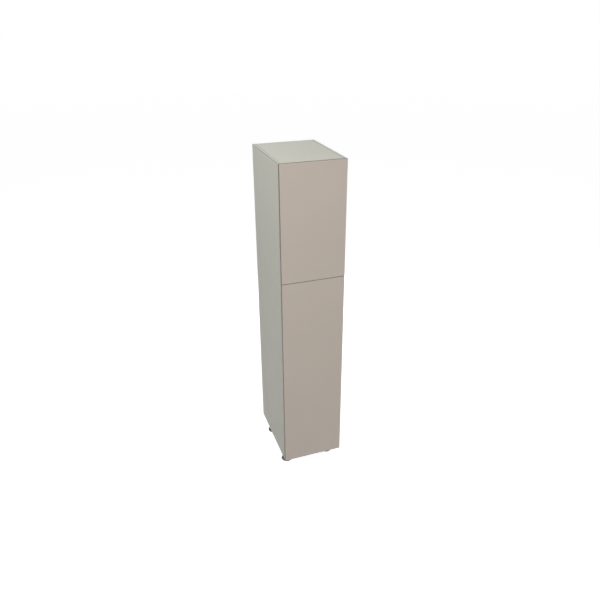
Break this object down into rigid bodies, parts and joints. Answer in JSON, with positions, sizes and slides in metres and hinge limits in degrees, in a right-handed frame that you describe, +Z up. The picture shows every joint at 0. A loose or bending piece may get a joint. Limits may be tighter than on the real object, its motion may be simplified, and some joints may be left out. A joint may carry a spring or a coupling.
{
  "type": "utility cabinet",
  "caption": "Tall narrow frameless utility cabinet with handleless slab doors one above the other, shelves inside and screw feet.",
  "frame": {"origin": "on the floor under the middle of the cabinet's box", "axes": "+Z up, the doors face -Y, +X to the right of someone facing the doors"},
  "size_m": [0.457, 0.632, 2.438],
  "materials": {
    "door_lacquer": "matt cashmere lacquer on fibreboard",
    "carcass_board": "light warm grey melamine on particle board",
    "back_board": "thin board with a light grey face",
    "edge_band": "matt light grey edge band",
    "beech": "bare beech",
    "zinc": "die-cast zinc",
    "nickel": "nickel-plated steel",
    "screw_steel": "bright zinc-plated steel",
    "latch_plastic": "light grey moulded plastic",
    "plunger_plastic": "dark grey moulded plastic",
    "foot_plastic": "dark grey moulded plastic"
  },
  "bodies": {
    "back_left_foot": {"back_left_foot": "foot_plastic"},
    "carcass": {"back_left_leg_socket": "foot_plastic", "back_panel": "back_board", "back_right_leg_socket": "foot_plastic", "bottom_back_rail": "carcass_board", "bottom_panel": "carcass_board", "bottom_panel_edge_band": "edge_band", "cam_bolts": "zinc", "cam_locks": "zinc", "dowels": "beech", "fixed_shelf": "carcass_board", "fixed_shelf_edge_band": "edge_band", "front_left_leg_socket": "foot_plastic", "front_right_leg_socket": "foot_plastic", "hinge_arm_screws": "screw_steel", "hinge_arms": "nickel", "hinge_mounting_plates": "nickel", "hinge_plate_screws": "screw_steel", "latch_screws": "screw_steel", "left_side_edge_band": "edge_band", "left_side_panel": "carcass_board", "leg_screws": "screw_steel", "lower_high_shelf": "carcass_board", "lower_high_shelf_edge_band": "edge_band", "lower_latch_housing": "latch_plastic", "lower_low_shelf": "carcass_board", "lower_low_shelf_edge_band": "edge_band", "middle_back_rail": "carcass_board", "right_side_edge_band": "edge_band", "right_side_panel": "carcass_board", "shelf_pins": "nickel", "top_back_rail": "carcass_board", "top_panel": "carcass_board", "top_panel_edge_band": "edge_band", "upper_high_shelf": "carcass_board", "upper_high_shelf_edge_band": "edge_band", "upper_latch_housing": "latch_plastic", "upper_low_shelf": "carcass_board", "upper_low_shelf_edge_band": "edge_band"},
    "back_right_foot": {"back_right_foot": "foot_plastic"},
    "front_left_foot": {"front_left_foot": "foot_plastic"},
    "front_right_foot": {"front_right_foot": "foot_plastic"},
    "lower_door": {"lower_cup_screws": "screw_steel", "lower_door": "door_lacquer", "lower_hinge_cups": "nickel", "lower_hinge_pins": "nickel", "lower_strike_plate": "nickel"},
    "lower_latch_plunger": {"lower_latch_plunger": "plunger_plastic"},
    "upper_door": {"upper_cup_screws": "screw_steel", "upper_door": "door_lacquer", "upper_hinge_cups": "nickel", "upper_hinge_pins": "nickel", "upper_strike_plate": "nickel"},
    "upper_latch_plunger": {"upper_latch_plunger": "plunger_plastic"}
  },
  "joints": [
    {"name": "upper_door_swing", "type": "hinge", "parent": "carcass", "child": "upper_door", "pos_m": [0.2195, -0.3068, 2.034], "axis": [0, 0, 1], "range_deg": [0, 95]},
    {"name": "lower_door_swing", "type": "hinge", "parent": "carcass", "child": "lower_door", "pos_m": [0.2195, -0.3068, 0.8705], "axis": [0, 0, 1], "range_deg": [0, 95]},
    {"name": "upper_latch_push", "type": "slide", "parent": "carcass", "child": "upper_latch_plunger", "axis": [0, -1, 0], "range_m": [0, 0.02]},
    {"name": "lower_latch_push", "type": "slide", "parent": "carcass", "child": "lower_latch_plunger", "axis": [0, -1, 0], "range_m": [0, 0.02]},
    {"name": "back_left_foot_screw", "type": "slide", "parent": "carcass", "child": "back_left_foot", "axis": [0, 0, -1], "range_m": [0, 0.03]},
    {"name": "back_right_foot_screw", "type": "slide", "parent": "carcass", "child": "back_right_foot", "axis": [0, 0, -1], "range_m": [0, 0.03]},
    {"name": "front_left_foot_screw", "type": "slide", "parent": "carcass", "child": "front_left_foot", "axis": [0, 0, -1], "range_m": [0, 0.03]},
    {"name": "front_right_foot_screw", "type": "slide", "parent": "carcass", "child": "front_right_foot", "axis": [0, 0, -1], "range_m": [0, 0.03]}
  ],
  "couplings": [
    {"joint": "upper_latch_push", "follows": "upper_door_swing", "m_per_rad": 0.012},
    {"joint": "lower_latch_push", "follows": "lower_door_swing", "m_per_rad": 0.012}
  ]
}
